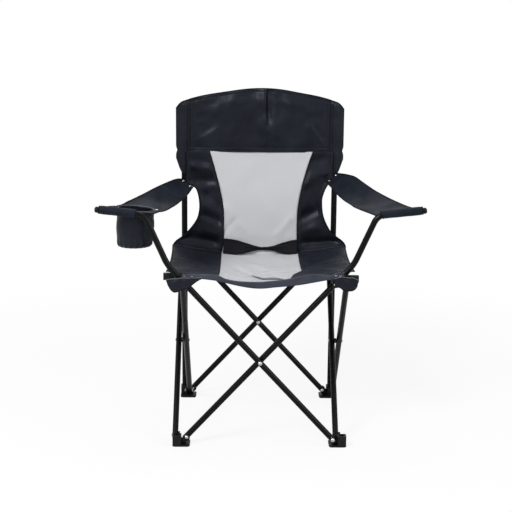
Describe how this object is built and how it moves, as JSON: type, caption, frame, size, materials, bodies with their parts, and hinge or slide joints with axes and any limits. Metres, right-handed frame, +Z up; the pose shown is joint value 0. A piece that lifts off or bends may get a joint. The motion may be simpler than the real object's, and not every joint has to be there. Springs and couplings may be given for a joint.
{
  "type": "folding armchair",
  "caption": "Folding camp armchair: scissor frame of dark tubes that gathers into an upright bundle, fabric seat and back with mesh panel, fabric armrests, hanging cup holder.",
  "frame": {"origin": "on the floor under the middle of the chair, between the four feet", "axes": "+X towards the right side as seen from the front, +Y towards the back, +Z up"},
  "size_m": [0.8092, 0.4508, 0.875],
  "materials": {
    "powder_coated_tube": "satin powder coat",
    "black_plastic": "moulded, fine grain",
    "rivet_steel": "plated",
    "dark_cloth": "coated plain weave, slight sheen",
    "grey_mesh": "open knitted mesh",
    "grey_strap": "woven band"
  },
  "bodies": {
    "rear_left": {"rear_left_foot": "black_plastic", "rear_left_foot_rivets": "rivet_steel", "left_back_post": "powder_coated_tube", "left_post_cap": "black_plastic", "left_head_sleeve": "dark_cloth", "headrest": "dark_cloth", "back_mesh": "grey_mesh", "left_back_panel": "dark_cloth", "right_back_panel": "dark_cloth", "lumbar_strap": "grey_strap"},
    "left_inner": {"left_inner_tube": "powder_coated_tube"},
    "left_outer": {"left_outer_tube": "powder_coated_tube", "left_cross_rivet": "rivet_steel", "left_cross_spacer": "black_plastic"},
    "front_left": {"front_left_foot": "black_plastic", "front_left_foot_rivets": "rivet_steel"},
    "rear_left_slider": {"rear_left_slider": "black_plastic", "rear_left_slider_rivets": "rivet_steel"},
    "rear_outer": {"rear_outer_tube": "powder_coated_tube", "rear_cross_rivet": "rivet_steel", "rear_cross_spacer": "black_plastic"},
    "rear_inner": {"rear_inner_tube": "powder_coated_tube"},
    "rear_right_slider": {"rear_right_slider": "black_plastic", "rear_right_slider_rivets": "rivet_steel"},
    "rear_right": {"rear_right_foot": "black_plastic", "rear_right_foot_rivets": "rivet_steel", "right_back_post": "powder_coated_tube", "right_post_cap": "black_plastic", "right_head_sleeve": "dark_cloth"},
    "front_inner": {"front_inner_tube": "powder_coated_tube", "right_arm_cap": "black_plastic", "right_arm_sleeve": "dark_cloth"},
    "front_outer": {"front_outer_tube": "powder_coated_tube", "front_cross_rivet": "rivet_steel", "front_cross_spacer": "black_plastic", "left_arm_cap": "black_plastic", "left_arm_sleeve": "dark_cloth"},
    "front_right_corner": {"front_right_corner": "black_plastic", "front_right_corner_rivets": "rivet_steel", "right_corner_pocket": "dark_cloth"},
    "front_right": {"front_right_foot": "black_plastic", "front_right_foot_rivets": "rivet_steel"},
    "front_left_corner": {"front_left_corner": "black_plastic", "front_left_corner_rivets": "rivet_steel", "left_corner_pocket": "dark_cloth"},
    "right_outer": {"right_outer_tube": "powder_coated_tube", "right_cross_rivet": "rivet_steel", "right_cross_spacer": "black_plastic"},
    "right_inner": {"right_inner_tube": "powder_coated_tube"},
    "seat_front": {"seat_mesh_front": "grey_mesh", "seat_sides_front": "dark_cloth", "seat_front_hem": "dark_cloth"},
    "seat_rear": {"seat_mesh_rear": "grey_mesh", "seat_sides_rear": "dark_cloth"},
    "left_armrest_front": {"left_armrest_front": "dark_cloth", "cup_holder": "dark_cloth"},
    "left_armrest_rear": {"left_armrest_rear": "dark_cloth"},
    "right_armrest_front": {"right_armrest_front": "dark_cloth"},
    "right_armrest_rear": {"right_armrest_rear": "dark_cloth"}
  },
  "joints": [
    {"name": "fold", "type": "hinge", "parent": "rear_left", "child": "left_inner", "pos_m": [-0.194, 0.1845, 0.02], "axis": [-1, 0, 0], "range_deg": [0, 38], "deforming": ["headrest", "back_mesh", "left_back_panel", "right_back_panel", "lumbar_strap", "seat_mesh_front", "seat_mesh_rear", "seat_sides_front", "seat_sides_rear", "seat_front_hem", "left_armrest_front", "left_armrest_rear", "right_armrest_front", "right_armrest_rear", "left_corner_pocket", "right_corner_pocket", "left_head_sleeve", "right_head_sleeve"]},
    {"name": "left_cross", "type": "hinge", "parent": "left_inner", "child": "left_outer", "pos_m": [-0.20375, 0, 0.21918], "axis": [1, 0, 0], "range_deg": [0, 76]},
    {"name": "left_front_foot", "type": "hinge", "parent": "left_outer", "child": "front_left", "pos_m": [-0.2135, -0.1845, 0.02], "axis": [-1, 0, 0], "range_deg": [0, 38]},
    {"name": "left_rear_slider", "type": "hinge", "parent": "left_outer", "child": "rear_left_slider", "pos_m": [-0.2135, 0.1845, 0.41836], "axis": [-1, 0, 0], "range_deg": [0, 38]},
    {"name": "rear_left_foot_pivot", "type": "hinge", "parent": "rear_left", "child": "rear_outer", "pos_m": [-0.1845, 0.2135, 0.02], "axis": [0, -1, 0], "range_deg": [0, 38]},
    {"name": "rear_cross", "type": "hinge", "parent": "rear_outer", "child": "rear_inner", "pos_m": [0, 0.20375, 0.21918], "axis": [0, 1, 0], "range_deg": [0, 76]},
    {"name": "rear_right_slider_pivot", "type": "hinge", "parent": "rear_outer", "child": "rear_right_slider", "pos_m": [0.1845, 0.2135, 0.41836], "axis": [0, 1, 0], "range_deg": [0, 38]},
    {"name": "rear_right_foot_pivot", "type": "hinge", "parent": "rear_inner", "child": "rear_right", "pos_m": [0.1845, 0.194, 0.02], "axis": [0, -1, 0], "range_deg": [0, 38]},
    {"name": "front_left_foot_pivot", "type": "hinge", "parent": "front_left", "child": "front_inner", "pos_m": [-0.1845, -0.194, 0.02], "axis": [0, -1, 0], "range_deg": [0, 38]},
    {"name": "front_cross", "type": "hinge", "parent": "front_inner", "child": "front_outer", "pos_m": [0, -0.20375, 0.21918], "axis": [0, 1, 0], "range_deg": [0, 76]},
    {"name": "front_right_corner_pivot", "type": "hinge", "parent": "front_inner", "child": "front_right_corner", "pos_m": [0.1845, -0.194, 0.41836], "axis": [0, 1, 0], "range_deg": [0, 38]},
    {"name": "front_right_foot_pivot", "type": "hinge", "parent": "front_outer", "child": "front_right", "pos_m": [0.1845, -0.2135, 0.02], "axis": [0, -1, 0], "range_deg": [0, 38]},
    {"name": "front_left_corner_pivot", "type": "hinge", "parent": "front_outer", "child": "front_left_corner", "pos_m": [-0.1845, -0.2135, 0.41836], "axis": [0, -1, 0], "range_deg": [0, 38]},
    {"name": "right_rear_foot_pivot", "type": "hinge", "parent": "rear_right", "child": "right_outer", "pos_m": [0.2135, 0.1845, 0.02], "axis": [-1, 0, 0], "range_deg": [0, 38]},
    {"name": "right_cross", "type": "hinge", "parent": "right_outer", "child": "right_inner", "pos_m": [0.20375, 0, 0.21918], "axis": [1, 0, 0], "range_deg": [0, 76]},
    {"name": "seat_front_fold", "type": "hinge", "parent": "front_left_corner", "child": "seat_front", "pos_m": [0, -0.2245, 0.449], "axis": [-1, 0, 0], "range_deg": [0, 78]},
    {"name": "seat_rear_fold", "type": "hinge", "parent": "rear_left_slider", "child": "seat_rear", "pos_m": [0, 0.193, 0.44], "axis": [1, 0, 0], "range_deg": [0, 78]},
    {"name": "left_armrest_front_fold", "type": "hinge", "parent": "front_outer", "child": "left_armrest_front", "pos_m": [-0.3172, -0.2135, 0.59354], "axis": [-0.3399, 0.7617, -0.5516], "range_deg": [0, 89.5]},
    {"name": "left_armrest_rear_fold", "type": "hinge", "parent": "rear_left", "child": "left_armrest_rear", "pos_m": [-0.1985, 0.194, 0.6195], "axis": [0.352, -0.4794, -0.8039], "range_deg": [0, 96.1]},
    {"name": "right_armrest_front_fold", "type": "hinge", "parent": "front_inner", "child": "right_armrest_front", "pos_m": [0.3172, -0.194, 0.59354], "axis": [-0.3429, -0.7893, 0.5094], "range_deg": [0, 89.1]},
    {"name": "right_armrest_rear_fold", "type": "hinge", "parent": "rear_right", "child": "right_armrest_rear", "pos_m": [0.1985, 0.194, 0.6325], "axis": [0.4081, 0.3784, 0.8308], "range_deg": [0, 101.9]}
  ],
  "couplings": [
    {"joint": "left_cross", "follows": "fold", "ratio": 2},
    {"joint": "left_front_foot", "follows": "fold", "ratio": 1},
    {"joint": "left_rear_slider", "follows": "fold", "ratio": 1},
    {"joint": "rear_left_foot_pivot", "follows": "fold", "ratio": 1},
    {"joint": "rear_cross", "follows": "fold", "ratio": 2},
    {"joint": "rear_right_slider_pivot", "follows": "fold", "ratio": 1},
    {"joint": "rear_right_foot_pivot", "follows": "fold", "ratio": 1},
    {"joint": "front_left_foot_pivot", "follows": "fold", "ratio": 1},
    {"joint": "front_cross", "follows": "fold", "ratio": 2},
    {"joint": "front_right_corner_pivot", "follows": "fold", "ratio": 1},
    {"joint": "front_right_foot_pivot", "follows": "fold", "ratio": 1},
    {"joint": "front_left_corner_pivot", "follows": "fold", "ratio": 1},
    {"joint": "right_rear_foot_pivot", "follows": "fold", "ratio": 1},
    {"joint": "right_cross", "follows": "fold", "ratio": 2},
    {"joint": "seat_front_fold", "follows": "fold", "ratio": 2.0526},
    {"joint": "seat_rear_fold", "follows": "fold", "ratio": 2.0526},
    {"joint": "left_armrest_front_fold", "follows": "fold", "ratio": 2.3531},
    {"joint": "left_armrest_rear_fold", "follows": "fold", "ratio": 2.5276},
    {"joint": "right_armrest_front_fold", "follows": "fold", "ratio": 2.3427},
    {"joint": "right_armrest_rear_fold", "follows": "fold", "ratio": 2.6816}
  ]
}
